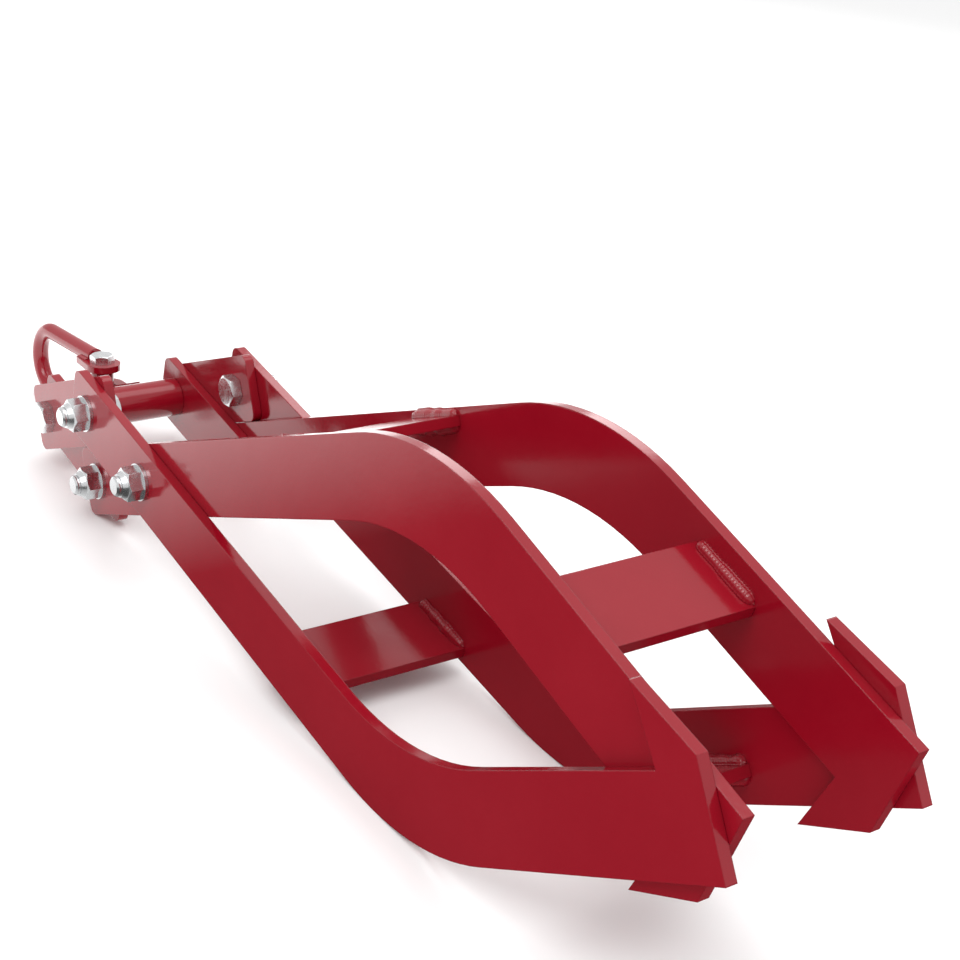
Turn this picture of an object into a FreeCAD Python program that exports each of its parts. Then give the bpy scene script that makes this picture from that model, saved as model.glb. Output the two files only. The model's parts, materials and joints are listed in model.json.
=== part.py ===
"""Log grapple: two clawed jaws on a four-bar tong linkage with a shackle on top.

The part lies closed on its side, as it rests on a floor. +X points from the
shackle to the claws, +Z is up and Y runs along the pivot bolts, with the origin
under the middle of the part. Sizes are in millimetres.

The linkage is a rhombus with a pivot at each corner:

    top ------- outer pivot      main to outer: end of the lower jaw's arms
     |              |            main to inner: end of the upper jaw's arms
    inner ------- main pivot     outer and inner to top: two pairs of links

Pulling the top pivot away from the main pivot closes the jaws. Everything in a
plane is drawn in the body's own XY plane, with x along the arm, and then stood
up with its thickness along Y.
"""
import FreeCAD, Part
import math
import os
import Sketcher

doc = FreeCAD.newDocument("LogGrapple")
sheet = doc.addObject("Spreadsheet::Sheet", "Sizes")
derived = doc.addObject("App::VarSet", "Derived")


class Size:
    """A length or angle as a number, together with the expression that gives it."""

    def __init__(self, value, text=None):
        self.value = float(value)
        self.text = text or repr(float(value))

    def __add__(self, other):
        other = size(other)
        return Size(self.value + other.value, f"({self.text} + {other.text})")

    def __sub__(self, other):
        other = size(other)
        return Size(self.value - other.value, f"({self.text} - {other.text})")

    def __mul__(self, other):
        other = size(other)
        return Size(self.value * other.value, f"({self.text} * {other.text})")

    def __truediv__(self, other):
        other = size(other)
        return Size(self.value / other.value, f"({self.text} / {other.text})")

    def __neg__(self):
        return Size(-self.value, f"(0 - {self.text})")

    __radd__ = __add__
    __rmul__ = __mul__

    def __rsub__(self, other):
        return size(other) - self


def size(number):
    return number if isinstance(number, Size) else Size(number)


def sine(angle):
    return Size(math.sin(math.radians(angle.value)), f"sin({angle.text})")


def cosine(angle):
    return Size(math.cos(math.radians(angle.value)), f"cos({angle.text})")


def tangent(angle):
    return Size(math.tan(math.radians(angle.value)), f"tan({angle.text})")


def arc_sine(ratio):
    return Size(math.degrees(math.asin(ratio.value)), f"(asin({ratio.text}) / 1deg)")


def arc_cosine(ratio):
    return Size(math.degrees(math.acos(ratio.value)), f"(acos({ratio.text}) / 1deg)")


def arc_tangent(rise, run):
    value = math.degrees(math.atan2(rise.value, run.value))
    return Size(value, f"(atan2({rise.text}; {run.text}) / 1deg)")


def distance(x, y):
    return Size(math.hypot(x.value, y.value), f"sqrt({x.text} ^ 2 + {y.text} ^ 2)")


def given(alias, number):
    """One driving size: a cell of the sheet with its alias."""
    given.row += 1
    sheet.set(f"A{given.row}", alias)
    sheet.set(f"B{given.row}", repr(number))
    sheet.setAlias(f"B{given.row}", alias)
    return Size(number, f"Sizes.{alias}")


given.row = 0


def derive(name, result):
    """A size that follows from others, kept under its own name."""
    derived.addProperty("App::PropertyFloat", name)
    derived.setExpression(name, result.text)
    return Size(result.value, f"Derived.{name}")


# Arms and links
plate_width = given("plate_width", 57.0)
plate_thickness = given("plate_thickness", 8.0)
plate_corner = given("plate_corner", 8.0)
pivot_spacing = given("pivot_spacing", 104.0)
end_overhang = given("end_overhang", 26.5)
arm_length = given("arm_length", 397.0)
bend_angle = given("bend_angle", 40.9)
outer_bend_radius = given("outer_bend_radius", 223.5)
inner_bend_radius = given("inner_bend_radius", 216.5)

# Claws: the second straight of the arm, its end cut, barb and notch
claw_width = given("claw_width", 60.0)
claw_reach = given("claw_reach", 301.5)
claw_cut = given("claw_cut", 67.7)
barb_reach = given("barb_reach", 108.6)
barb_setback = given("barb_setback", 41.0)
notch_setback = given("notch_setback", 35.6)

# Braces across each jaw
brace_thickness = given("brace_thickness", 8.0)
bend_brace_start = given("bend_brace_start", 191.0)
bend_brace_length = given("bend_brace_length", 61.0)
bend_brace_inset = given("bend_brace_inset", 5.5)
claw_brace_start = given("claw_brace_start", 109.5)
claw_brace_length = given("claw_brace_length", 58.5)
claw_brace_inset = given("claw_brace_inset", 17.8)
weld_leg = given("weld_leg", 6.0)
weld_end_margin = given("weld_end_margin", 2.0)

# Clearances
plate_gap = given("plate_gap", 0.2)
stop_gap = given("stop_gap", 0.3)
pivot_clearance = given("pivot_clearance", 0.08)
thread_clearance = given("thread_clearance", 0.05)
tube_clearance = given("tube_clearance", 0.35)

# Pivot bolts, washers and lock nuts
bolt_diameter = given("bolt_diameter", 16.0)
bolt_flats = given("bolt_flats", 24.0)
bolt_head = given("bolt_head", 10.0)
bolt_end = given("bolt_end", 4.0)
washer_diameter = given("washer_diameter", 30.0)
washer_thickness = given("washer_thickness", 3.0)
nut_hex = given("nut_hex", 12.0)
nut_collar = given("nut_collar", 4.0)

# Hanger: cross tube and lug
tube_length = given("tube_length", 104.1)
tube_diameter = given("tube_diameter", 33.7)
lug_thickness = given("lug_thickness", 10.0)
lug_width = given("lug_width", 46.0)
lug_top = given("lug_top", 61.0)
lug_corner = given("lug_corner", 14.0)
eye_height = given("eye_height", 38.0)
eye_diameter = given("eye_diameter", 25.0)
hanger_weld = given("hanger_weld", 5.0)

# Shackle: bow, ears, sleeve and pin bolt
rod_diameter = given("rod_diameter", 15.0)
bow_width = given("bow_width", 74.0)
bow_height = given("bow_height", 136.0)
leg_foot = given("leg_foot", 13.0)
ear_thickness = given("ear_thickness", 6.0)
ear_width = given("ear_width", 34.0)
ear_end = given("ear_end", 17.0)
ear_round = given("ear_round", 15.0)
ear_neck = given("ear_neck", 24.0)
ear_lap = given("ear_lap", 27.0)
ear_weld = given("ear_weld", 4.0)
sleeve_diameter = given("sleeve_diameter", 20.0)
sleeve_gap = given("sleeve_gap", 0.3)
pin_diameter = given("pin_diameter", 12.0)
pin_flats = given("pin_flats", 19.0)
pin_head = given("pin_head", 7.5)
pin_end = given("pin_end", 2.0)
pin_washer_diameter = given("pin_washer_diameter", 24.0)
pin_washer_thickness = given("pin_washer_thickness", 2.5)
pin_nut = given("pin_nut", 10.8)
shackle_swing = given("shackle_swing", 2.6)

doc.recompute()

half_width = derive("half_width", plate_width / 2)
half_claw = derive("half_claw", claw_width / 2)
bend_sine = derive("bend_sine", sine(bend_angle))
bend_cosine = derive("bend_cosine", cosine(bend_angle))

# Arm corners in arm coordinates: u along the first straight from the main pivot,
# v outwards. The second straight is a little wider, about the same centre line,
# so the edges meet a little before or after the centre lines do.
edge_shift = derive("edge_shift", (bend_cosine * half_claw - half_width) / bend_sine)
outer_corner_u = derive(
    "outer_corner_u", arm_length + bend_sine * half_claw + bend_cosine * edge_shift)
inner_corner_u = derive(
    "inner_corner_u", arm_length - bend_sine * half_claw - bend_cosine * edge_shift)


def on_claw(along, out):
    """Arm coordinates of a point on the second straight, from the crossing of the
    two centre lines, with out measured outwards from the centre line."""
    u = arm_length + bend_cosine * along + bend_sine * out
    v = bend_cosine * out - bend_sine * along
    return u, v


claw_tip_u, claw_tip_v = on_claw(claw_reach, half_claw)
claw_tip_u = derive("claw_tip_u", claw_tip_u)
claw_tip_v = derive("claw_tip_v", claw_tip_v)

# The jaws stop when an upper arm and the outer link beside it meet edge to edge.
closed_angle = derive(
    "closed_angle", arc_sine((plate_width + stop_gap) / pivot_spacing) / 2)
closed_sine = derive("closed_sine", sine(closed_angle))
closed_cosine = derive("closed_cosine", cosine(closed_angle))

# Resting attitude: the floor touches the rounded end corner of the upper arms at
# the hub and the outer bend of the lower arms. Both are circles here, given about
# the main pivot with x across the linkage and z towards the top pivot.
hub_u = pivot_spacing + end_overhang - plate_corner
hub_v = half_width - plate_corner
hub_x = derive("hub_x", hub_u * closed_sine + hub_v * closed_cosine)
hub_z = derive("hub_z", hub_u * closed_cosine - hub_v * closed_sine)
bend_u = derive("bend_u", outer_corner_u - outer_bend_radius * tangent(bend_angle / 2))
bend_v = derive("bend_v", half_width - outer_bend_radius)
bend_x = derive("bend_x", bend_u * closed_sine + bend_v * closed_cosine)
bend_z = derive("bend_z", bend_v * closed_sine - bend_u * closed_cosine)
contact_span = derive("contact_span", distance(hub_x - bend_x, hub_z - bend_z))
tilt = derive(
    "tilt",
    arc_tangent(hub_z - bend_z, hub_x - bend_x)
    - arc_cosine((outer_bend_radius - plate_corner) / contact_span))
main_z = derive("main_z", cosine(tilt) * hub_x + sine(tilt) * hub_z + plate_corner)

# Slopes of the arms: the lower ones fall towards the claws, the upper ones rise.
lower_slope = derive("lower_slope", closed_angle - tilt)
upper_slope = derive("upper_slope", closed_angle + tilt)
lower_sine = derive("lower_sine", sine(lower_slope))
lower_cosine = derive("lower_cosine", cosine(lower_slope))
upper_sine = derive("upper_sine", sine(upper_slope))
upper_cosine = derive("upper_cosine", cosine(upper_slope))

# The hanger droops until the bow's lower leg lies on the floor.
bow_radius = derive("bow_radius", (bow_width - rod_diameter) / 2)
leg_top = derive("leg_top", bow_height - bow_width / 2)
pin_height = derive("pin_height", eye_height + (eye_diameter - sleeve_diameter) / 2 - sleeve_gap)
top_drop = derive("top_drop", 2 * pivot_spacing * closed_cosine * sine(tilt))
droop = derive(
    "droop",
    arc_sine((main_z - top_drop - bow_width / 2)
             / (pin_height + leg_top * cosine(shackle_swing))))
droop_sine = derive("droop_sine", sine(droop))
droop_cosine = derive("droop_cosine", cosine(droop))

# The origin is half way between the bow's top and the lower claws.
front_reach = derive("front_reach", claw_tip_u * lower_cosine - claw_tip_v * lower_sine)
bow_run = distance(droop_sine, droop_cosine * cosine(shackle_swing))
back_reach = derive(
    "back_reach",
    2 * pivot_spacing * closed_cosine * cosine(tilt)
    + droop_cosine * (pin_height + leg_top * cosine(shackle_swing))
    + bow_radius * bow_run
    + rod_diameter / 2)
main_x = derive("main_x", (back_reach - front_reach) / 2)

# Pivots
outer_x = derive("outer_x", main_x - pivot_spacing * lower_cosine)
outer_z = derive("outer_z", main_z + pivot_spacing * lower_sine)
inner_x = derive("inner_x", main_x - pivot_spacing * upper_cosine)
inner_z = derive("inner_z", main_z - pivot_spacing * upper_sine)
top_x = derive("top_x", outer_x + inner_x - main_x)
top_z = derive("top_z", outer_z + inner_z - main_z)
pin_x = derive("pin_x", top_x - pin_height * droop_cosine)
pin_z = derive("pin_z", top_z - pin_height * droop_sine)

# Plate layers on each side, by the distance of their inner face from the middle
layer_pitch = derive("layer_pitch", plate_thickness + plate_gap)
inner_layer = derive("inner_layer", tube_length / 2 + plate_gap)
middle_layer = derive("middle_layer", inner_layer + layer_pitch)
outer_layer = derive("outer_layer", middle_layer + layer_pitch)
hole_radius = derive("hole_radius", bolt_diameter / 2 + pivot_clearance)

doc.recompute()

NEAR = 1
FAR = -1
ZERO = Size(0)


def upright(x, z, turn):
    """Placement of a piece drawn in its XY plane: stood up, turned and moved."""
    return f"placement(vector({x.text}; 0; {z.text}); rotationx(90) * rotationz({turn.text}))"


def place(item, x, y, z, rotation):
    item.setExpression("Placement", f"placement(vector({x.text}; {y.text}; {z.text}); {rotation})")


def bind(item, **sizes):
    for name, amount in sizes.items():
        item.setExpression(name, size(amount).text)


def hold(sketch, geometry, point, x, y):
    """Fixes a point of the sketch at x, y from the sketch's own origin."""
    for kind, axis, amount in (("DistanceX", -2, x), ("DistanceY", -1, y)):
        if amount is ZERO:
            sketch.addConstraint(Sketcher.Constraint("PointOnObject", geometry, point, axis))
            continue
        rule = sketch.addConstraint(Sketcher.Constraint(kind, geometry, point, amount.value))
        sketch.setExpression(f"Constraints[{rule}]", amount.text)


def fillet_arc(before, corner, after, radius):
    """The arc that rounds a corner, its two tangent points and its turning sense."""
    into = (corner - before).normalize()
    away = (after - corner).normalize()
    left = into.x * away.y - into.y * away.x > 0
    turn = math.acos(max(-1.0, min(1.0, into.dot(away))))
    length = radius * math.tan(turn / 2)
    start = corner - into * length
    end = corner + away * length
    side = 1 if left else -1
    centre = start + FreeCAD.Vector(-into.y, into.x, 0) * radius * side
    first, last = (start, end) if left else (end, start)
    angles = [math.atan2(p.y - centre.y, p.x - centre.x) for p in (first, last)]
    circle = Part.Circle(centre, FreeCAD.Vector(0, 0, 1), radius)
    return Part.ArcOfCircle(circle, angles[0], angles[1]), start, end, left


def draw(sketch, corners, holes):
    """A closed outline through corners (x, y, radius or None), with round holes."""
    count = len(corners)
    spots = [FreeCAD.Vector(x.value, y.value, 0) for x, y, radius in corners]
    arcs = []
    for i, (x, y, radius) in enumerate(corners):
        if radius is None:
            arcs.append((None, spots[i], spots[i], True))
        else:
            arcs.append(fillet_arc(spots[i - 1], spots[i], spots[(i + 1) % count], radius.value))
    lines = []
    for i in range(count):
        following = (i + 1) % count
        segment = Part.LineSegment(arcs[i][2], arcs[following][1])
        lines.append(sketch.addGeometry(segment, False))
    for i, (x, y, radius) in enumerate(corners):
        before, after = lines[i - 1], lines[i]
        if radius is None:
            sketch.addConstraint(Sketcher.Constraint("Coincident", before, 2, after, 1))
            hold(sketch, after, 1, x, y)
            continue
        arc, start, end, left = arcs[i]
        arc_id = sketch.addGeometry(arc, False)
        first, last = (1, 2) if left else (2, 1)
        sketch.addConstraint(Sketcher.Constraint("Tangent", before, 2, arc_id, first))
        sketch.addConstraint(Sketcher.Constraint("Tangent", arc_id, last, after, 1))
        corner_id = sketch.addGeometry(Part.Point(spots[i]), True)
        hold(sketch, corner_id, 1, x, y)
        sketch.addConstraint(Sketcher.Constraint("PointOnObject", corner_id, 1, before))
        sketch.addConstraint(Sketcher.Constraint("PointOnObject", corner_id, 1, after))
        rule = sketch.addConstraint(Sketcher.Constraint("Radius", arc_id, radius.value))
        sketch.setExpression(f"Constraints[{rule}]", radius.text)
    for x, y, radius in holes:
        middle = FreeCAD.Vector(x.value, y.value, 0)
        circle = Part.Circle(middle, FreeCAD.Vector(0, 0, 1), radius.value)
        circle_id = sketch.addGeometry(circle, False)
        hold(sketch, circle_id, 3, x, y)
        rule = sketch.addConstraint(Sketcher.Constraint("Radius", circle_id, radius.value))
        sketch.setExpression(f"Constraints[{rule}]", radius.text)


def plate(name, corners, holes, thickness, start, side=NEAR, plane="XY_Plane"):
    """A flat plate: an outline padded by its thickness from start, away from the middle."""
    body = doc.addObject("PartDesign::Body", name)
    body.Label = name
    sketch = body.newObject("Sketcher::SketchObject", name + "_outline")
    support = [f for f in body.Origin.OriginFeatures if f.Role == plane][0]
    sketch.AttachmentSupport = [(support, "")]
    sketch.MapMode = "FlatFace"
    sketch.setExpression("AttachmentOffset.Base.z", (side * start).text)
    draw(sketch, corners, holes)
    pad = body.newObject("PartDesign::Pad", name + "_pad")
    pad.Profile = sketch
    pad.Reversed = side == FAR
    pad.setExpression("Length", thickness.text)
    return body


nodes = []


def arm_corners(up):
    """The arm's outline, with v pointing up (1) for the upper jaw or down (-1)."""
    back = -(pivot_spacing + end_overhang)
    notch = on_claw(claw_reach - notch_setback, -half_claw)
    barb = on_claw(claw_reach - barb_setback, half_claw - barb_reach)
    cut = on_claw(claw_reach, half_claw - claw_cut)
    outline = [
        (back, -half_width, plate_corner),
        (inner_corner_u, -half_width, inner_bend_radius),
        (notch[0], notch[1], None),
        (barb[0], barb[1], None),
        (cut[0], cut[1], None),
        (claw_tip_u, claw_tip_v, None),
        (outer_corner_u, half_width, outer_bend_radius),
        (back, half_width, plate_corner),
    ]
    return [(u, up * v, radius) for u, v, radius in outline]


def arm_point(up, u, v):
    """Where a point of an arm lies in the part, in X and Z."""
    if up > 0:
        x = main_x + u * upper_cosine - v * upper_sine
        z = main_z + u * upper_sine + v * upper_cosine
    else:
        x = main_x + u * lower_cosine - v * lower_sine
        z = main_z - u * lower_sine - v * lower_cosine
    return x, z


arm_holes = [(ZERO, ZERO, hole_radius), (-pivot_spacing, ZERO, hole_radius)]
link_corners = [
    (-end_overhang, -half_width, plate_corner),
    (pivot_spacing + end_overhang, -half_width, plate_corner),
    (pivot_spacing + end_overhang, half_width, plate_corner),
    (-end_overhang, half_width, plate_corner),
]
link_holes = [(ZERO, ZERO, hole_radius), (pivot_spacing, ZERO, hole_radius)]

# Arms in pairs, the lower jaw's outermost; links from the top pivot, the pair to
# the outer pivots in the upper arms' layer and the pair to the inner pivots inside.
for side, side_name in ((NEAR, "near"), (FAR, "far")):
    arm = plate("lower_arm_" + side_name, arm_corners(-1), arm_holes, plate_thickness, outer_layer, side)
    arm.setExpression("Placement", upright(main_x, main_z, -lower_slope))
    nodes.append(arm)
    arm = plate("upper_arm_" + side_name, arm_corners(1), arm_holes, plate_thickness, middle_layer, side)
    arm.setExpression("Placement", upright(main_x, main_z, upper_slope))
    nodes.append(arm)
    link = plate("outer_link_" + side_name, link_corners, link_holes, plate_thickness, middle_layer, side)
    link.setExpression("Placement", upright(top_x, top_z, upper_slope))
    nodes.append(link)
    link = plate("inner_link_" + side_name, link_corners, link_holes, plate_thickness, inner_layer, side)
    link.setExpression("Placement", upright(top_x, top_z, -lower_slope))
    nodes.append(link)


def compound(name, links):
    group = doc.addObject("Part::Compound", name)
    group.Label = name
    group.Links = links
    return group


def weld_bead(name, length, y_leg, z_leg):
    """A fillet bead: a three-cornered bar along x, its square corner on the x axis."""
    bead = doc.addObject("Part::Wedge", name)
    bind(bead, Xmin=0, Xmax=length, X2min=0, X2max=length)
    bind(bead, Ymin=0, Ymax=y_leg, Zmin=0, Zmax=z_leg, Z2min=0, Z2max=0)
    return bead


def brace(name, up, reach, span):
    """A flat strip across a jaw, inside the outer edge of its arms by an inset, and the
    four beads that join its ends to the arms. Its length runs along the arm."""
    at_claw = reach == "claw"
    start = claw_brace_start if at_claw else bend_brace_start
    length = claw_brace_length if at_claw else bend_brace_length
    high = half_claw - claw_brace_inset if at_claw else half_width - bend_brace_inset
    low = high - brace_thickness
    slope = upper_slope if up > 0 else -lower_slope
    slope = slope - up * bend_angle if at_claw else slope

    def spot(along, out):
        u, v = on_claw(along, out) if at_claw else (along, out)
        return arm_point(up, u, v)

    strip = doc.addObject("Part::Box", name)
    strip.Label = name
    bind(strip, Length=length, Width=2 * span, Height=brace_thickness)
    x, z = spot(start, low if up > 0 else high)
    place(strip, x, -span, z, f"rotationy(0 - {slope.text})")
    nodes.append(strip)
    beads = []
    for side, face in ((-1, 1), (-1, -1), (1, 1), (1, -1)):
        bead_length = length - 2 * weld_end_margin
        bead = weld_bead(f"{name}_bead_{len(beads)}", bead_length, weld_leg, weld_leg)
        level = high if face == up else low
        # Each bead turns about x until its square corner lies against arm and strip.
        turn = {(-1, 1): 0, (1, 1): 90, (1, -1): 180, (-1, -1): 270}[(side, face)]
        x, z = spot(start + weld_end_margin, level)
        place(bead, x, side * span, z, f"rotationy(0 - {slope.text}) * rotationx({turn})")
        beads.append(bead)
    return beads


lower_beads = brace("lower_bend_brace", -1, "bend", outer_layer)
lower_beads += brace("lower_claw_brace", -1, "claw", outer_layer)
upper_beads = brace("upper_bend_brace", 1, "bend", middle_layer)
upper_beads += brace("upper_claw_brace", 1, "claw", middle_layer)
nodes.append(compound("lower_welds", lower_beads))
nodes.append(compound("upper_welds", upper_beads))


def cylinder(name, radius, height, z=ZERO):
    item = doc.addObject("Part::Cylinder", name)
    bind(item, Radius=radius, Height=height)
    item.setExpression("Placement.Base.z", z.text)
    return item


def cone(name, low_radius, high_radius, height, z=ZERO):
    item = doc.addObject("Part::Cone", name)
    bind(item, Radius1=low_radius, Radius2=high_radius, Height=height)
    item.setExpression("Placement.Base.z", z.text)
    return item


def combine(kind, name, base, tool):
    item = doc.addObject("Part::" + kind, name)
    item.Base = base
    item.Tool = tool
    return item


def hexagon(name, flats, height, z):
    """A hexagonal prism along z, its far corners taken off by a 30 degree cone."""
    prism = doc.addObject("Part::Prism", name + "_prism")
    prism.Polygon = 6
    bind(prism, Circumradius=flats / 2 / cosine(Size(30)), Height=height)
    prism.setExpression("Placement.Base.z", z.text)
    crown = flats * 0.475
    turned = cone(name + "_turned", crown + height / tangent(Size(30)), crown, height, z)
    return combine("Common", name, prism, turned)


def bolt(name, diameter, flats, head, seat, tip):
    """A hex bolt along z: the head's underside at seat, the chamfered end at tip, the
    head below the seat."""
    cap = hexagon(name + "_head", flats, head, ZERO)
    cap.Placement = FreeCAD.Placement()
    flipped = doc.addObject("Part::Mirroring", name + "_cap")
    flipped.Source = cap
    flipped.Normal = FreeCAD.Vector(0, 0, 1)
    flipped.setExpression("Placement.Base.z", seat.text)
    bevel = diameter / 10
    shank = cylinder(name + "_shank", diameter / 2, tip - seat - bevel, seat)
    end = cone(name + "_end", diameter / 2, diameter / 2 - bevel, bevel, tip - bevel)
    rod = combine("Fuse", name + "_rod", shank, end)
    return combine("Fuse", name, rod, flipped)


def ring(name, diameter, bore, thickness, z):
    """A washer or a sleeve along z, from z upwards."""
    blank = cylinder(name + "_blank", diameter / 2, thickness, z)
    hole = cylinder(name + "_hole", bore / 2, thickness, z)
    return combine("Cut", name, blank, hole)


def nut(name, diameter, flats, hex_height, collar, z):
    """A nut along z from z upwards, with the round collar of a lock nut if it has one."""
    block = hexagon(name + "_hex", flats, hex_height, z)
    height = hex_height
    if collar is not None:
        crown = cone(name + "_collar", flats * 0.46, flats * 0.38, collar, z + hex_height)
        block = combine("Fuse", name + "_block", block, crown)
        height = hex_height + collar
    hole = cylinder(name + "_hole", diameter / 2 + thread_clearance, height, z)
    return combine("Cut", name, block, hole)


def pair(name, piece, x, z):
    """The piece on the near side and its mirror image on the far side."""
    twin = doc.addObject("Part::Mirroring", name + "_far")
    twin.Source = piece
    twin.Normal = FreeCAD.Vector(0, 0, 1)
    group = compound(name, [piece, twin])
    group.setExpression("Placement", upright(x, z, ZERO))
    nodes.append(group)


washer_bore = bolt_diameter + 2 * thread_clearance


def pivot_set(name, inside, outside, x, z):
    """Bolt, washer and nut of one pivot, through the layers from inside to outside."""
    seat = inside - plate_gap
    face = outside + plate_thickness
    nut_seat = face + washer_thickness
    tip = nut_seat + nut_hex + nut_collar + bolt_end
    screw = bolt(name + "_bolt", bolt_diameter, bolt_flats, bolt_head, seat, tip)
    disc = ring(name + "_washer", washer_diameter, washer_bore, washer_thickness, face)
    block = nut(name + "_nut", bolt_diameter, bolt_flats, nut_hex, nut_collar, nut_seat)
    pair(name + "_bolts", screw, x, z)
    pair(name + "_washers", disc, x, z)
    pair(name + "_nuts", block, x, z)


pivot_set("main", middle_layer, outer_layer, main_x, main_z)
pivot_set("outer", middle_layer, outer_layer, outer_x, outer_z)
pivot_set("inner", inner_layer, middle_layer, inner_x, inner_z)

# One long bolt at the top pivot, through both links of each side and the tube
top_face = derive("top_face", middle_layer + plate_thickness)
top_tip = top_face + washer_thickness + nut_hex + nut_collar + bolt_end
top_parts = [
    bolt("top_bolt", bolt_diameter, bolt_flats, bolt_head, -top_face, top_tip),
    ring("top_washer", washer_diameter, washer_bore, washer_thickness, top_face),
    nut("top_nut", bolt_diameter, bolt_flats, nut_hex, nut_collar, top_face + washer_thickness),
]
for item in top_parts:
    item.Label = item.Name
    place(item, top_x, ZERO, top_z, "rotationx(270)")
    nodes.append(item)

# Hanger, drawn with z from the top pivot to the shackle and x along the shackle's pin
hanger_turn = f"rotationy(0 - 90 - {droop.text})"
tube = ring("hanger_tube", tube_diameter, bolt_diameter + 2 * tube_clearance, tube_length, -tube_length / 2)
tube.Label = "hanger_tube"
place(tube, top_x, ZERO, top_z, "rotationx(90)")
nodes.append(tube)

lug_foot = derive("lug_foot", tube_diameter / 4)
lug_outline = [
    (-lug_width / 2, lug_foot, None),
    (lug_width / 2, lug_foot, None),
    (lug_width / 2, lug_top, lug_corner),
    (-lug_width / 2, lug_top, lug_corner),
]
lug_plate = plate(
    "lug_plate", lug_outline, [(ZERO, eye_height, eye_diameter / 2)],
    lug_thickness, -lug_thickness / 2, NEAR, "YZ_Plane")


def round_saddle(name):
    """The tube's outside, to shape what sits on it."""
    saddle = cylinder(name, tube_diameter / 2, tube_length, -tube_length / 2)
    saddle.setExpression("Placement", f"placement(vector(0; {(tube_length / 2).text}; 0); rotationx(90))")
    return saddle


lug = combine("Cut", "hanger_lug", lug_plate, round_saddle("lug_saddle"))
lug.Label = "hanger_lug"
place(lug, top_x, ZERO, top_z, hanger_turn)
nodes.append(lug)

# A bead on each face of the lug. Its square corner starts inside the tube's outline,
# so that the leg left above the tube is the weld's own.
lug_beads = []
bead_foot = derive("bead_foot", tube_diameter / 2 - hanger_weld)
for way, turn in ((1, 270), (-1, 90)):
    bead = weld_bead(f"lug_bead_{turn}", lug_width, 2 * hanger_weld, 2 * hanger_weld)
    place(bead, way * lug_thickness / 2, way * lug_width / 2, bead_foot, f"rotationz({turn})")
    saddle = round_saddle(f"bead_saddle_{turn}")
    lug_beads.append(combine("Cut", f"lug_weld_{turn}", bead, saddle))
lug_welds = compound("hanger_welds", lug_beads)
place(lug_welds, top_x, ZERO, top_z, hanger_turn)
nodes.append(lug_welds)

# Shackle, drawn with z from the pin to the top of the bow and x along the pin
shackle_turn = f"{hanger_turn} * rotationx({shackle_swing.text})"
rod_radius = rod_diameter / 2
ear_face = derive("ear_face", bow_width / 2 - rod_diameter)


def on_shackle(item):
    place(item, pin_x, ZERO, pin_z, shackle_turn)
    nodes.append(item)


arch = doc.addObject("Part::Torus", "bow_arch")
bind(arch, Radius1=bow_radius, Radius2=rod_radius, Angle3=180)
arch.setExpression("Placement", f"placement(vector(0; 0; {leg_top.text}); rotationx(90))")
bow = arch
for way in (-1, 1):
    leg = cylinder(f"bow_leg_{way + 1}", rod_radius, leg_top - leg_foot, leg_foot)
    leg.setExpression("Placement.Base.x", (way * bow_radius).text)
    bow = combine("Fuse", f"bow_with_leg_{way + 1}", bow, leg)
for way in (-1, 1):
    notch = doc.addObject("Part::Box", f"bow_notch_{way + 1}")
    bind(notch, Length=ear_thickness, Width=ear_width, Height=ear_lap)
    edge = ear_face if way > 0 else -(ear_face + ear_thickness)
    place(notch, edge, -ear_width / 2, ZERO, "rotationx(0)")
    bow = combine("Cut", f"bow_cut_{way + 1}", bow, notch)
bow.Label = "shackle_bow"
on_shackle(bow)

ear_outline = [
    (-ear_width / 2, -ear_end, ear_round),
    (ear_width / 2, -ear_end, ear_round),
    (ear_neck / 2, ear_lap, None),
    (-ear_neck / 2, ear_lap, None),
]
ear_hole = [(ZERO, ZERO, pin_diameter / 2 + thread_clearance)]
ears = []
for side, word in ((NEAR, "head"), (FAR, "nut")):
    ears.append(plate("ear_" + word, ear_outline, ear_hole, ear_thickness, ear_face, side, "YZ_Plane"))
on_shackle(compound("shackle_ears", ears))

# A bead along each side of a leg's foot, in the corner between rod and ear. It is
# drawn from the rod's middle, and the rod is taken out of it.
ear_beads = []
bead_spread = derive("bead_spread", rod_radius + ear_weld)
for way, across, turn in ((1, -1, 180), (1, 1, 270), (-1, 1, 0), (-1, -1, 90)):
    name = f"ear_bead_{turn}"
    legs = (bead_spread, ear_weld) if turn in (0, 180) else (ear_weld, bead_spread)
    bead = weld_bead(name, ear_lap - leg_foot, legs[0], legs[1])
    edge = way * (ear_face + ear_thickness)
    place(bead, edge, ZERO, leg_foot, f"rotationy(270) * rotationx({turn})")
    rod = cylinder(name + "_rod", rod_radius, leg_top - leg_foot, leg_foot)
    rod.setExpression("Placement.Base.x", (way * bow_radius).text)
    ear_beads.append(combine("Cut", f"ear_weld_{turn}", bead, rod))
on_shackle(compound("shackle_welds", ear_beads))

across_pin = f"{shackle_turn} * rotationy(90)"
pin_bore = pin_diameter + 2 * thread_clearance
nut_face = ear_face + ear_thickness
pin_tip = nut_face + pin_washer_thickness + pin_nut + pin_end
pin_parts = [
    ring("shackle_sleeve", sleeve_diameter, pin_bore, 2 * ear_face, -ear_face),
    bolt("pin_bolt", pin_diameter, pin_flats, pin_head, -nut_face, pin_tip),
    ring("pin_washer", pin_washer_diameter, pin_bore, pin_washer_thickness, nut_face),
    nut("pin_nut", pin_diameter, pin_flats, pin_nut, None, nut_face + pin_washer_thickness),
]
for item in pin_parts:
    item.Label = item.Name
    turn = across_pin if item.Name == "shackle_sleeve" else f"{across_pin} * rotationx(180)"
    place(item, pin_x, ZERO, pin_z, turn)
    nodes.append(item)

doc.recompute()

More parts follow.
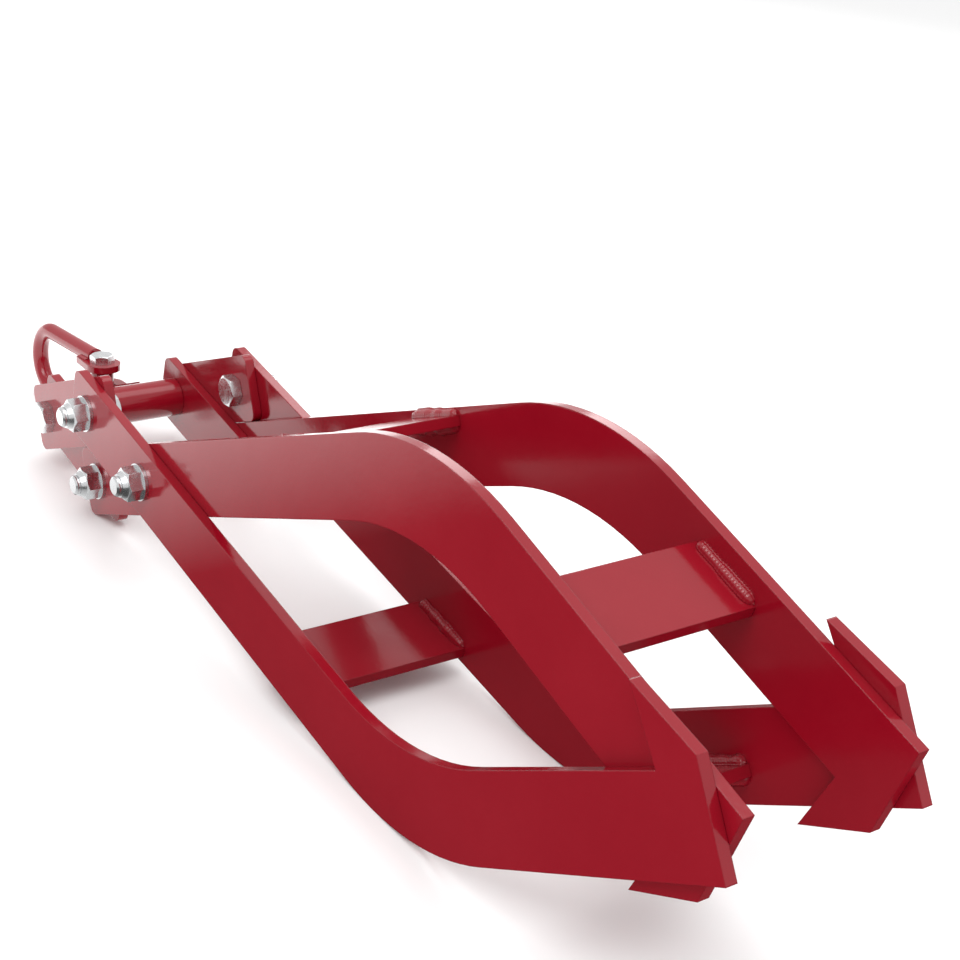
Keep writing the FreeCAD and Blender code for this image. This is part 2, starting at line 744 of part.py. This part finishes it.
for item in doc.Objects:
    if "Invalid" in item.State or "Error" in item.State:
        raise ValueError(f"{item.Name} failed: {item.State}")
os.makedirs("parts", exist_ok=True)
for node in nodes:
    if node.Shape.isNull() or not node.Shape.isValid():
        raise ValueError(f"{node.Label} has no valid shape")
for node in nodes:
    node.Shape.exportStep(os.path.join("parts", node.Label + ".step"))
print(len(nodes), "pieces written")
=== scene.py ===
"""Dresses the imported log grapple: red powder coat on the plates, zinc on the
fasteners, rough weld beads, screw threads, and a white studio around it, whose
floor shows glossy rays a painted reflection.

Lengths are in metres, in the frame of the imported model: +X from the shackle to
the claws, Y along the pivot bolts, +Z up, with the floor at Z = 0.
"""
import json

import bpy
import numpy as np
from bpy.props import FloatProperty, FloatVectorProperty, PointerProperty
from mathutils import Matrix, Vector


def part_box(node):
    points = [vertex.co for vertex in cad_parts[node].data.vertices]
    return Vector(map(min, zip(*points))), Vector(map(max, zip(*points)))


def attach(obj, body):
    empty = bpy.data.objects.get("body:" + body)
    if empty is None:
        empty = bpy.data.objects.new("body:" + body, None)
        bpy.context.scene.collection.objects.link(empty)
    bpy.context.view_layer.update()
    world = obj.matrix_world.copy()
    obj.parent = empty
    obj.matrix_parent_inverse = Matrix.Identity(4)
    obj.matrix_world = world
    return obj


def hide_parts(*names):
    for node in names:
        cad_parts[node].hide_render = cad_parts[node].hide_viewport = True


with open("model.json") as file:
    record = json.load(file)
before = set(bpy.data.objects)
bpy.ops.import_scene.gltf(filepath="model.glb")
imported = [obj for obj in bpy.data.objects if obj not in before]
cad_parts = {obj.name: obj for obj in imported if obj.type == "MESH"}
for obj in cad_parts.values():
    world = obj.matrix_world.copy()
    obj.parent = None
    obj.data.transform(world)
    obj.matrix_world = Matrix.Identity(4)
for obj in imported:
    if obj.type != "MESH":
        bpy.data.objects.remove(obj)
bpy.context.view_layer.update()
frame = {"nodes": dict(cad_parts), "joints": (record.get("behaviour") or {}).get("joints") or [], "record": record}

bl_info = {
    "name": "Log grapple",
    "version": (1, 0, 0),
    "blender": (4, 5, 0),
    "location": "View3D > Sidebar > Grapple",
    "description": "Finishes, welds, threads and studio for a log grapple",
    "category": "Object",
}

JOINTS = {joint["name"]: joint for joint in frame["joints"]}
BODIES = frame["record"]["behaviour"]["bodies"]
ZINC_WORDS = ("bolt", "washer", "nut")
THREADED = {
    # bolt node: (joint on whose axis it lies, sides with a free end)
    "main_bolts": ("jaw_opening", (-1, 1)),
    "outer_bolts": ("outer_link_pivot", (-1, 1)),
    "inner_bolts": ("inner_link_pivot", (-1, 1)),
    "top_bolt": ("hanger_swing", (1,)),
}
BEADED = {
    # weld node: body that it rides on
    "lower_welds": "lower_jaw",
    "upper_welds": "upper_jaw",
}

SPECK_COLOR = (0.42, 0.02, 0.03)
SPECK_STRENGTH = 0.25
WAVE_OVER_PEEL = 5.0
ZINC_SHADE = 0.82

BEAD_ROWS = 90
BEAD_COLUMNS = 14
BEAD_SHARE = 0.93
RIPPLE = 0.07
RIPPLE_STEP = 0.42
WANDER = 0.16
WANDER_POINTS = 9
END_POWER = 14
END_SHARE = 0.15
CROWN = 0.12
CROWN_SHARE = 0.80

THREAD_ROWS = 46
THREAD_COLUMNS = 48
THREAD_ROOT = 0.00793
THREAD_IN_NUT = 0.0005
THREAD_SHORT_OF_TIP = 0.0012
THREAD_FADE = 0.0022
THREAD_FADE_LEAST = 0.35
THREAD_SHOWN = 0.42
TOOTH_SLOPE = 1.35
TOOTH_CUT = 0.15

FLOOR_HALF = 30.0
FLOOR_BELOW = 0.0003
SKY_STRENGTH = 0.92
LAMP_TARGET = (0.0, 0.0, 0.1)
LAMPS = (
    # name, place, width, power in watts
    ("KeyLight", (0.6, -1.4, 2.2), 1.4, 26.0),
    ("TopLight", (-0.2, 0.4, 2.6), 2.0, 24.0),
    ("BackLight", (-1.6, 1.8, 1.4), 1.2, 14.0),
)

CAMERA_FROM_PIVOT = (1.1436, -0.639, 0.6328)
CAMERA_RIGHT = (0.5717, 0.8133, 0.1083)
CAMERA_UP = (-0.4110, 0.1696, 0.8957)
SENSOR_WIDTH = 36.0
FOCAL_LENGTH = 67.16


class GrapplePaint(bpy.types.PropertyGroup):
    """Colours of the finishes."""

    red: FloatVectorProperty(
        name="Powder coat", description="Base colour of the powder coat",
        subtype="COLOR", default=(0.285, 0.0035, 0.013), min=0, max=1)
    red_deep: FloatVectorProperty(
        name="Powder coat, deep", description="Colour where the coat lies thick",
        subtype="COLOR", default=(0.225, 0.0025, 0.010), min=0, max=1)
    zinc: FloatVectorProperty(
        name="Zinc", description="Colour of the zinc plating",
        subtype="COLOR", default=(0.74, 0.75, 0.76), min=0, max=1)


class GrappleSizes(bpy.types.PropertyGroup):
    """Sizes of the small detail."""

    weld_leg: FloatProperty(
        name="Weld leg", description="Leg of the fillet welds at the braces",
        default=0.0062, unit="LENGTH")
    thread_pitch: FloatProperty(
        name="Thread pitch", description="Pitch of the pivot bolts' threads",
        default=0.002, unit="LENGTH")
    thread_depth: FloatProperty(
        name="Thread depth", description="Depth of a full thread, of which a share shows",
        default=0.0009, unit="LENGTH")
    edge_round: FloatProperty(
        name="Edge rounding", description="Radius that the coat gives a cut edge",
        default=0.0011, unit="LENGTH")


# ---------------------------------------------------------------- node helpers

def node(tree, kind, **inputs):
    made = tree.nodes.new(kind)
    for name, value in inputs.items():
        made.inputs[name.replace("_", " ")].default_value = value
    return made


def link(tree, source, target):
    tree.links.new(source, target)


def color_mix(tree):
    mix = tree.nodes.new("ShaderNodeMix")
    mix.data_type = "RGBA"
    return mix


def finish_group(name):
    """A group from a vector to colour, roughness and height, with its two end nodes."""
    group = bpy.data.node_groups.new(name, "ShaderNodeTree")
    face = group.interface
    face.new_socket("Vector", in_out="INPUT", socket_type="NodeSocketVector")
    face.new_socket("Color", in_out="OUTPUT", socket_type="NodeSocketColor")
    face.new_socket("Roughness", in_out="OUTPUT", socket_type="NodeSocketFloat")
    face.new_socket("Height", in_out="OUTPUT", socket_type="NodeSocketFloat")
    return group, group.nodes.new("NodeGroupInput"), group.nodes.new("NodeGroupOutput")


def coat_group(paint):
    """Powder coat: cloudy colour, orange peel and dust specks, as colour, roughness
    and normal height from object coordinates."""
    group, start, end = finish_group("PowderCoat")

    cloud = node(group, "ShaderNodeTexNoise", Scale=9.0, Detail=4.0, Roughness=0.6)
    link(group, start.outputs["Vector"], cloud.inputs["Vector"])
    mix = color_mix(group)
    mix.inputs["A"].default_value = (*paint.red_deep, 1)
    mix.inputs["B"].default_value = (*paint.red, 1)
    link(group, cloud.outputs["Fac"], mix.inputs["Factor"])

    specks = node(group, "ShaderNodeTexVoronoi", Scale=190.0)
    link(group, start.outputs["Vector"], specks.inputs["Vector"])
    speck = node(group, "ShaderNodeMapRange", From_Min=0.02, From_Max=0.10, To_Min=1.0, To_Max=0.0)
    link(group, specks.outputs["Distance"], speck.inputs["Value"])
    lighter = color_mix(group)
    lighter.inputs["B"].default_value = (*SPECK_COLOR, 1)
    amount = group.nodes.new("ShaderNodeMath")
    amount.operation = "MULTIPLY"
    amount.inputs[1].default_value = SPECK_STRENGTH
    link(group, speck.outputs["Result"], amount.inputs[0])
    link(group, amount.outputs["Value"], lighter.inputs["Factor"])
    link(group, mix.outputs["Result"], lighter.inputs["A"])
    link(group, lighter.outputs["Result"], end.inputs["Color"])

    rough = node(group, "ShaderNodeMapRange", From_Min=0.3, From_Max=0.7, To_Min=0.10, To_Max=0.17)
    link(group, cloud.outputs["Fac"], rough.inputs["Value"])
    link(group, rough.outputs["Result"], end.inputs["Roughness"])

    peel = node(group, "ShaderNodeTexNoise", Scale=260.0, Detail=2.0, Roughness=0.4)
    wave = node(group, "ShaderNodeTexNoise", Scale=26.0, Detail=1.0, Roughness=0.5)
    link(group, start.outputs["Vector"], peel.inputs["Vector"])
    link(group, start.outputs["Vector"], wave.inputs["Vector"])
    both = group.nodes.new("ShaderNodeMath")
    both.operation = "MULTIPLY_ADD"
    both.inputs[1].default_value = WAVE_OVER_PEEL
    link(group, wave.outputs["Fac"], both.inputs[0])
    link(group, peel.outputs["Fac"], both.inputs[2])
    link(group, both.outputs["Value"], end.inputs["Height"])
    return group


def zinc_group(paint):
    """Zinc plating: mottled grey with fine scratches, as colour, roughness and height."""
    group, start, end = finish_group("ZincPlate")
    blotch = node(group, "ShaderNodeTexNoise", Scale=140.0, Detail=5.0, Roughness=0.65)
    link(group, start.outputs["Vector"], blotch.inputs["Vector"])
    mix = color_mix(group)
    mix.inputs["A"].default_value = (*[c * ZINC_SHADE for c in paint.zinc], 1)
    mix.inputs["B"].default_value = (*paint.zinc, 1)
    link(group, blotch.outputs["Fac"], mix.inputs["Factor"])
    link(group, mix.outputs["Result"], end.inputs["Color"])
    rough = node(group, "ShaderNodeMapRange", From_Min=0.3, From_Max=0.7, To_Min=0.16, To_Max=0.34)
    link(group, blotch.outputs["Fac"], rough.inputs["Value"])
    link(group, rough.outputs["Result"], end.inputs["Roughness"])
    scratch = node(group, "ShaderNodeTexNoise", Scale=900.0, Detail=2.0, Roughness=0.5)
    link(group, start.outputs["Vector"], scratch.inputs["Vector"])
    link(group, scratch.outputs["Fac"], end.inputs["Height"])
    return group


def surface(name, group, metallic, bump, distance, edge):
    """A material that takes colour, roughness and height from a node group."""
    material = bpy.data.materials.new(name)
    material.use_nodes = True
    tree = material.node_tree
    shader = tree.nodes["Principled BSDF"]
    coords = tree.nodes.new("ShaderNodeTexCoord")
    look = tree.nodes.new("ShaderNodeGroup")
    look.node_tree = group
    link(tree, coords.outputs["Object"], look.inputs["Vector"])
    link(tree, look.outputs["Color"], shader.inputs["Base Color"])
    link(tree, look.outputs["Roughness"], shader.inputs["Roughness"])
    shader.inputs["Metallic"].default_value = metallic
    rounded = tree.nodes.new("ShaderNodeBevel")
    rounded.samples = 4
    rounded.inputs["Radius"].default_value = edge
    relief = node(tree, "ShaderNodeBump", Strength=bump, Distance=distance)
    link(tree, look.outputs["Height"], relief.inputs["Height"])
    link(tree, rounded.outputs["Normal"], relief.inputs["Normal"])
    link(tree, relief.outputs["Normal"], shader.inputs["Normal"])
    return material


# ---------------------------------------------------------------- mesh helpers

def mesh_piece(name, points, faces, material, body):
    mesh = bpy.data.meshes.new(name)
    mesh.from_pydata([tuple(p) for p in points], [], [tuple(f) for f in faces])
    mesh.materials.append(material)
    mesh.polygons.foreach_set("use_smooth", [True] * len(mesh.polygons))
    mesh.update()
    made = bpy.data.objects.new(name, mesh)
    bpy.context.scene.collection.objects.link(made)
    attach(made, body)
    return made


def tube_faces(rows, columns):
    """Quads of a rows by columns grid of points that closes across its columns."""
    i, j = np.meshgrid(np.arange(rows - 1), np.arange(columns), indexing="ij")
    after = (j + 1) % columns
    quads = np.stack([i * columns + j, i * columns + after,
                      (i + 1) * columns + after, (i + 1) * columns + j], axis=-1)
    return quads.reshape(-1, 4)


def unit(vector):
    return vector / np.linalg.norm(vector)


def bead_points(start, end, out_a, out_b, leg, seed):
    """A fillet weld from start to end between two faces that point out_a and out_b.

    Its section is an arc from leg along one face to leg along the other. The legs
    swell and shrink along the run as leg * (BEAD_SHARE + ripple + wander), with
    ripples RIPPLE_STEP legs apart, as a hand weld has, and shrink at the ends.
    """
    rng = np.random.default_rng(seed)
    run = end - start
    length = np.linalg.norm(run)
    s = np.linspace(0, 1, BEAD_ROWS)
    ripple = RIPPLE * np.abs(np.sin(np.pi * s * length / (RIPPLE_STEP * leg)))
    wander = np.interp(s, np.linspace(0, 1, WANDER_POINTS), rng.uniform(-WANDER, WANDER, WANDER_POINTS))
    ends = np.sqrt(np.clip(1 - (2 * s - 1) ** END_POWER, 0, 1))
    size = leg * (BEAD_SHARE + ripple + wander) * np.clip(ends, END_SHARE, 1)
    t = np.linspace(0, np.pi / 2, BEAD_COLUMNS - 1)
    crown = 1 + CROWN * np.sin(2 * t)
    across = np.stack([np.cos(t) * crown, np.sin(t) * crown], axis=1) * CROWN_SHARE
    across[0] = (1, 0)
    across[-1] = (0, 1)
    spine = (start + s[:, None] * run)[:, None, :]
    section = across[None, :, 0, None] * out_a + across[None, :, 1, None] * out_b
    arc = spine + size[:, None, None] * section
    return np.concatenate([arc, spine], axis=1).reshape(-1, 3)


def add_bead(store, points):
    """Adds a bead's points, and the faces of its sides and its two ends, to the store."""
    base = sum(len(p) for p in store["points"])
    store["points"].append(points)
    store["faces"] += [tuple(int(k) + base for k in f) for f in tube_faces(BEAD_ROWS, BEAD_COLUMNS)]
    first = base + np.arange(BEAD_COLUMNS)
    last = first + (BEAD_ROWS - 1) * BEAD_COLUMNS
    store["faces"].append(tuple(int(k) for k in first))
    store["faces"].append(tuple(int(k) for k in last[::-1]))


def solids_of(name):
    """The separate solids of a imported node, each as an array of its points."""
    mesh = frame["nodes"][name].data
    points = np.empty(len(mesh.vertices) * 3)
    mesh.vertices.foreach_get("co", points)
    keys, same = np.unique(np.round(points.reshape(-1, 3), 6), axis=0, return_inverse=True)
    parent = np.arange(len(keys))

    def root(k):
        while parent[k] != k:
            parent[k] = parent[parent[k]]
            k = parent[k]
        return k

    flat = same.reshape(-1)
    for face in mesh.polygons:
        corners = [flat[v] for v in face.vertices]
        for other in corners[1:]:
            a, b = root(corners[0]), root(other)
            if a != b:
                parent[a] = b
    groups = {}
    for k in range(len(keys)):
        groups.setdefault(root(k), []).append(keys[k])
    return [np.array(g) for g in groups.values()]


def right_corner(corners):
    """Of three corners, the one nearest to a right angle, and the legs that leave it."""
    best = None
    for k in range(3):
        a = corners[(k + 1) % 3] - corners[k]
        b = corners[(k + 2) % 3] - corners[k]
        skew = abs(np.dot(unit(a), unit(b)))
        if best is None or skew < best[0]:
            best = (skew, corners[k], a, b)
    return best[1:]


def bead_from_bar(bar):
    """The run of a three-cornered bar: the ends of its root line and two leg directions.

    The bar has six corners, three at each end. The root line joins the two that
    have the right angle.
    """
    centre = bar.mean(axis=0)
    along = np.linalg.eigh(np.cov((bar - centre).T))[1][:, 2]
    place = (bar - centre) @ along
    start, leg_a, leg_b = right_corner(bar[place < 0])
    end = right_corner(bar[place > 0])[0]
    return start, end, unit(leg_a), unit(leg_b)


def thread_points(pivot, nut_face, tip, side, sizes):
    """A threaded sleeve round the pivot axis, from just inside the nut to near the tip."""
    run = np.linspace(nut_face - side * THREAD_IN_NUT, tip - side * THREAD_SHORT_OF_TIP, THREAD_ROWS)
    angle = np.linspace(0, 2 * np.pi, THREAD_COLUMNS, endpoint=False)
    phase = np.abs(run)[:, None] / sizes.thread_pitch + side * angle[None, :] / (2 * np.pi)
    tooth = np.abs((phase % 1.0) - 0.5) * 2
    profile = np.clip(tooth * TOOTH_SLOPE - TOOTH_CUT, 0, 1)
    fade = np.clip(np.abs(run - tip)[:, None] / THREAD_FADE, THREAD_FADE_LEAST, 1)
    radius = THREAD_ROOT + sizes.thread_depth * THREAD_SHOWN * profile * fade
    x = pivot[0] + radius * np.cos(angle)[None, :]
    z = pivot[2] + radius * np.sin(angle)[None, :]
    y = np.repeat(run[:, None], THREAD_COLUMNS, axis=1)
    return np.stack([x, y, z], axis=-1).reshape(-1, 3)


# ------------------------------------------------------------------- operators

MATERIALS = {}


class GRAPPLE_OT_finishes(bpy.types.Operator):
    """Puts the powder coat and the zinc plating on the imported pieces"""

    bl_idname = "grapple.finishes"
    bl_label = "Finishes"

    def execute(self, context):
        paint = context.scene.grapple_paint
        coat = coat_group(paint)
        plating = zinc_group(paint)
        edge = context.scene.grapple_sizes.edge_round
        MATERIALS["red"] = surface("RedPowderCoat", coat, 0.0, 0.10, 0.0004, edge)
        MATERIALS["weld"] = surface("RedCoatOnWeld", coat, 0.0, 0.35, 0.0006, 0.0003)
        MATERIALS["zinc"] = surface("ZincPlate", plating, 1.0, 0.12, 0.0002, 0.0004)
        for name, packed in frame["nodes"].items():
            finish = "zinc" if any(word in name for word in ZINC_WORDS) else "red"
            packed.data.materials.clear()
            packed.data.materials.append(MATERIALS[finish])
        return {"FINISHED"}


class GRAPPLE_OT_welds(bpy.types.Operator):
    """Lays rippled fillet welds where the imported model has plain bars"""

    bl_idname = "grapple.welds"
    bl_label = "Welds"

    def execute(self, context):
        leg = context.scene.grapple_sizes.weld_leg
        for name, body in BEADED.items():
            store = {"points": [], "faces": []}
            bars = sorted(solids_of(name), key=lambda bar: tuple(bar.mean(axis=0).round(4)))
            for k, bar in enumerate(bars):
                add_bead(store, bead_points(*bead_from_bar(bar), leg, 11 * k + len(name)))
            piece = mesh_piece(
                name.replace("welds", "weld_beads"), np.concatenate(store["points"]), store["faces"],
                MATERIALS["weld"], body)
            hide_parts(name)
        return {"FINISHED"}


class GRAPPLE_OT_threads(bpy.types.Operator):
    """Puts screw threads round the free ends of the pivot bolts"""

    bl_idname = "grapple.threads"
    bl_label = "Threads"

    def execute(self, context):
        sizes = context.scene.grapple_sizes
        quads = tube_faces(THREAD_ROWS, THREAD_COLUMNS)
        for name, (joint, sides) in THREADED.items():
            pivot = JOINTS[joint]["pos_m"]
            low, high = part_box(name)
            nut_low, nut_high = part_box(name.replace("bolts", "nuts").replace("bolt", "nut"))
            body = next(b for b, members in BODIES.items() if name in members)
            points = []
            faces = []
            for side in sides:
                tip = high[1] if side > 0 else low[1]
                nut_face = nut_high[1] if side > 0 else nut_low[1]
                base = len(points)
                points += [tuple(p) for p in thread_points(pivot, nut_face, tip, side, sizes)]
                faces += [tuple(int(k) + base for k in f) for f in quads]
            mesh_piece(name + "_thread", points, faces, MATERIALS["zinc"], body)
        return {"FINISHED"}


def floor_with_painted_reflection():
    """A pale floor. Glossy rays see a painted reflection instead: an emission
    which runs along X from bright by the hub to dim further on."""
    material = bpy.data.materials.new("StudioFloor")
    material.use_nodes = True
    tree = material.node_tree
    shader = tree.nodes["Principled BSDF"]
    shader.inputs["Base Color"].default_value = (0.93, 0.93, 0.93, 1)
    shader.inputs["Roughness"].default_value = 0.6
    shader.inputs["Specular IOR Level"].default_value = 0.1
    coords = tree.nodes.new("ShaderNodeTexCoord")
    split = tree.nodes.new("ShaderNodeSeparateXYZ")
    # painted reflection: the emission strength that glossy rays see, 2.2 by the hub down to 0.10 further on
    fade = node(tree, "ShaderNodeMapRange", From_Min=-0.44, From_Max=-0.12, To_Min=2.2, To_Max=0.10)
    painted_reflection_glow = tree.nodes.new("ShaderNodeEmission")
    path = tree.nodes.new("ShaderNodeLightPath")
    choose = tree.nodes.new("ShaderNodeMixShader")
    link(tree, coords.outputs["Object"], split.inputs["Vector"])
    link(tree, split.outputs["X"], fade.inputs["Value"])
    link(tree, fade.outputs["Result"], painted_reflection_glow.inputs["Strength"])
    # glossy rays get the painted reflection glow, all other rays the pale floor
    link(tree, path.outputs["Is Glossy Ray"], choose.inputs["Fac"])
    link(tree, shader.outputs["BSDF"], choose.inputs[1])
    link(tree, painted_reflection_glow.outputs["Emission"], choose.inputs[2])
    link(tree, choose.outputs["Shader"], tree.nodes["Material Output"].inputs["Surface"])
    return material


def add_floor(scene):
    half = FLOOR_HALF
    mesh = bpy.data.meshes.new("StudioFloor")
    mesh.from_pydata([(-half, -half, 0), (half, -half, 0), (half, half, 0), (-half, half, 0)],
                     [], [(0, 1, 2, 3)])
    mesh.materials.append(floor_with_painted_reflection())
    floor = bpy.data.objects.new("StudioFloor", mesh)
    floor.location.z = -FLOOR_BELOW
    scene.collection.objects.link(floor)


def add_light(scene):
    world = bpy.data.worlds.new("Studio")
    scene.world = world
    world.use_nodes = True
    sky = world.node_tree.nodes["Background"]
    sky.inputs["Color"].default_value = (1, 1, 1, 1)
    sky.inputs["Strength"].default_value = SKY_STRENGTH
    for name, place, width, power in LAMPS:
        data = bpy.data.lights.new(name, "AREA")
        data.shape = "SQUARE"
        data.size = width
        data.energy = power
        lamp = bpy.data.objects.new(name, data)
        scene.collection.objects.link(lamp)
        lamp.location = place
        aim = Vector(LAMP_TARGET) - Vector(place)
        lamp.rotation_euler = aim.to_track_quat("-Z", "Y").to_euler()


def add_camera(scene):
    right = Vector(CAMERA_RIGHT).normalized()
    up = Vector(CAMERA_UP)
    up = (up - right * up.dot(right)).normalized()
    turn = Matrix((right, up, right.cross(up))).transposed().to_4x4()
    place = Vector(JOINTS["jaw_opening"]["pos_m"]) + Vector(CAMERA_FROM_PIVOT)
    data = bpy.data.cameras.new("Camera")
    data.sensor_width = SENSOR_WIDTH
    data.lens = FOCAL_LENGTH
    camera = bpy.data.objects.new("Camera", data)
    scene.collection.objects.link(camera)
    camera.matrix_world = Matrix.Translation(place) @ turn
    scene.camera = camera


class GRAPPLE_OT_stage(bpy.types.Operator):
    """Sets the floor, the lights and the camera"""

    bl_idname = "grapple.stage"
    bl_label = "Studio"

    def execute(self, context):
        scene = context.scene
        scene.view_settings.view_transform = "Standard"
        add_floor(scene)
        add_light(scene)
        add_camera(scene)
        return {"FINISHED"}


class GRAPPLE_PT_panel(bpy.types.Panel):
    """Lists the grapple's steps and settings"""

    bl_label = "Log grapple"
    bl_space_type = "VIEW_3D"
    bl_region_type = "UI"
    bl_category = "Grapple"

    def draw(self, context):
        for step in STEPS:
            self.layout.operator(step.bl_idname)
        for group in (context.scene.grapple_paint, context.scene.grapple_sizes):
            for prop in group.bl_rna.properties:
                if prop.identifier not in ("rna_type", "name"):
                    self.layout.prop(group, prop.identifier)


STEPS = (GRAPPLE_OT_finishes, GRAPPLE_OT_welds, GRAPPLE_OT_threads, GRAPPLE_OT_stage)
CLASSES = (GrapplePaint, GrappleSizes, *STEPS, GRAPPLE_PT_panel)


def register():
    for each in CLASSES:
        bpy.utils.register_class(each)
    bpy.types.Scene.grapple_paint = PointerProperty(type=GrapplePaint)
    bpy.types.Scene.grapple_sizes = PointerProperty(type=GrappleSizes)


def unregister():
    del bpy.types.Scene.grapple_sizes
    del bpy.types.Scene.grapple_paint
    for each in reversed(CLASSES):
        bpy.utils.unregister_class(each)


def main():
    register()
    bpy.ops.grapple.finishes()
    bpy.ops.grapple.welds()
    bpy.ops.grapple.threads()
    bpy.ops.grapple.stage()


if __name__ == "__main__":
    main()
